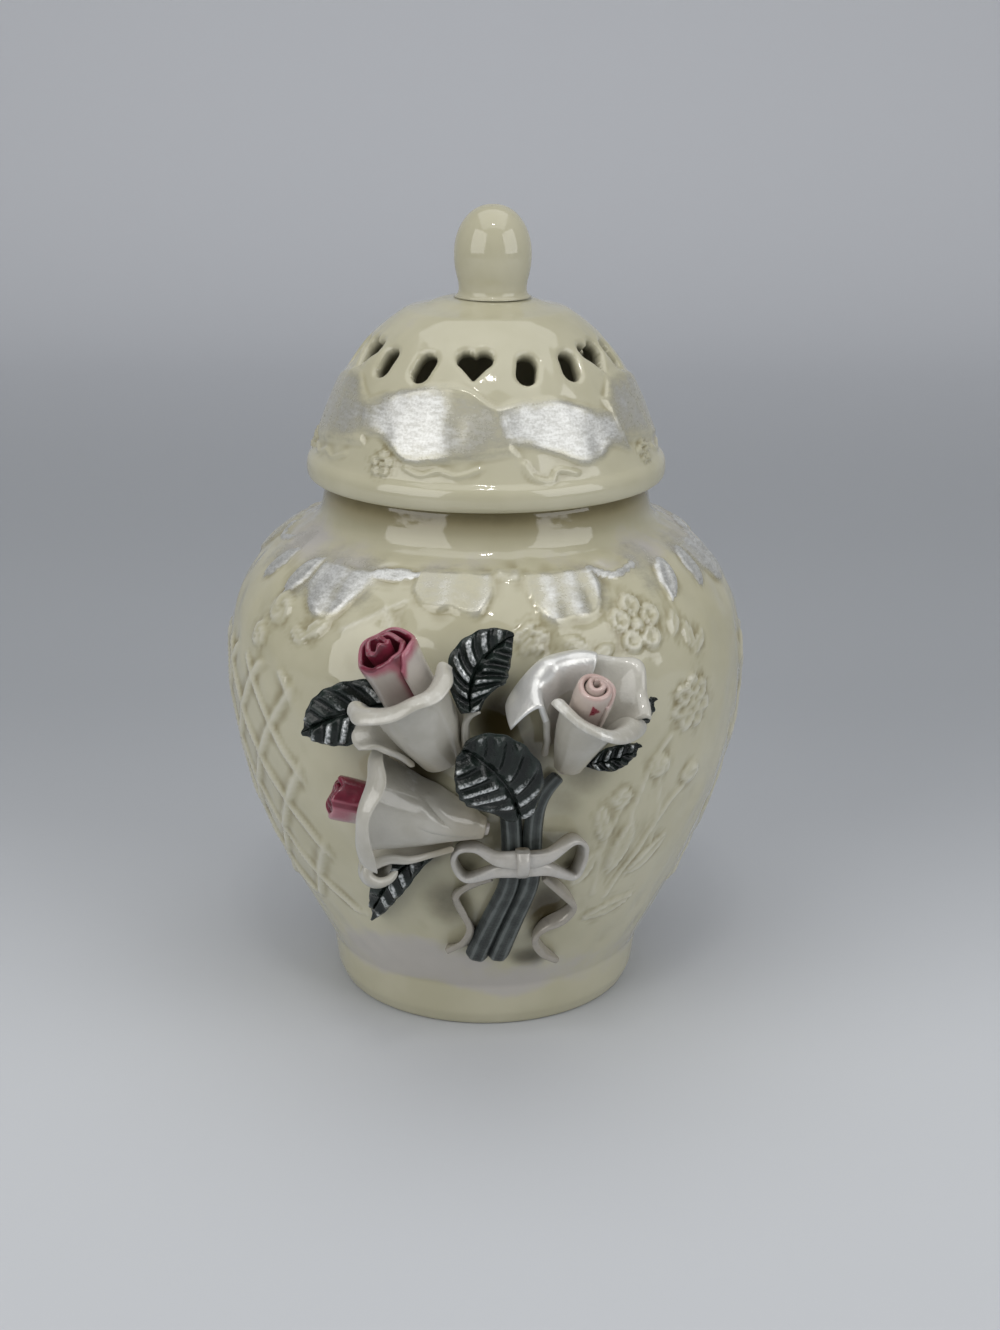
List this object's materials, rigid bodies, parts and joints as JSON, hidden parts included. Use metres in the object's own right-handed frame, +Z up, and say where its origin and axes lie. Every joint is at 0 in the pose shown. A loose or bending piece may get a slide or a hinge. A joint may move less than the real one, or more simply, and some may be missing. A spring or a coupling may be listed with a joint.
{
  "type": "potpourri vase",
  "caption": "Lidded ceramic ginger-jar vase with a pierced lid for scent and an applied bouquet of rolled clay roses, leaves, stalks and a ribbon bow on its front.",
  "frame": {"origin": "centre of the foot, on the plane it stands on", "axes": "+Z up along the axis of the vase; the bouquet faces -Y; +X to the viewer's right"},
  "size_m": [0.1112, 0.1286, 0.1686],
  "materials": {
    "cream_glaze": "glossy cream glaze with pearl lustre",
    "crimson_bud": "satin glaze, painted crimson at the edges",
    "pale_bud": "satin glaze, pale pink",
    "white_petal": "satin white glaze",
    "dark_leaf": "satin dark green glaze with rubbed veins",
    "grey_stalk": "satin grey-green glaze",
    "pearl_ribbon": "pearl white glaze"
  },
  "bodies": {
    "vase": {"vase_body": "cream_glaze", "rose_1_bud": "crimson_bud", "rose_1_front_petal": "white_petal", "rose_1_left_petal": "white_petal", "rose_1_right_petal": "white_petal", "rose_2_bud": "pale_bud", "rose_2_front_petal": "white_petal", "rose_2_left_petal": "white_petal", "rose_2_right_petal": "white_petal", "rose_3_bud": "crimson_bud", "rose_3_collar_petal": "white_petal", "rose_3_lower_petal": "white_petal", "leaf_1": "dark_leaf", "leaf_2": "dark_leaf", "leaf_3": "dark_leaf", "leaf_4": "dark_leaf", "leaf_5": "dark_leaf", "leaf_6": "dark_leaf", "stalk_left": "grey_stalk", "stalk_right": "grey_stalk", "bow_left_loop": "pearl_ribbon", "bow_right_loop": "pearl_ribbon", "bow_knot": "pearl_ribbon", "ribbon_tail_left": "pearl_ribbon", "ribbon_tail_right": "pearl_ribbon"},
    "lid": {"lid": "cream_glaze", "lid_knob": "cream_glaze"}
  },
  "joints": [
    {"name": "lid_lift", "type": "slide", "parent": "vase", "child": "lid", "axis": [0, 0, 1], "range_m": [0, 0.1]}
  ]
}
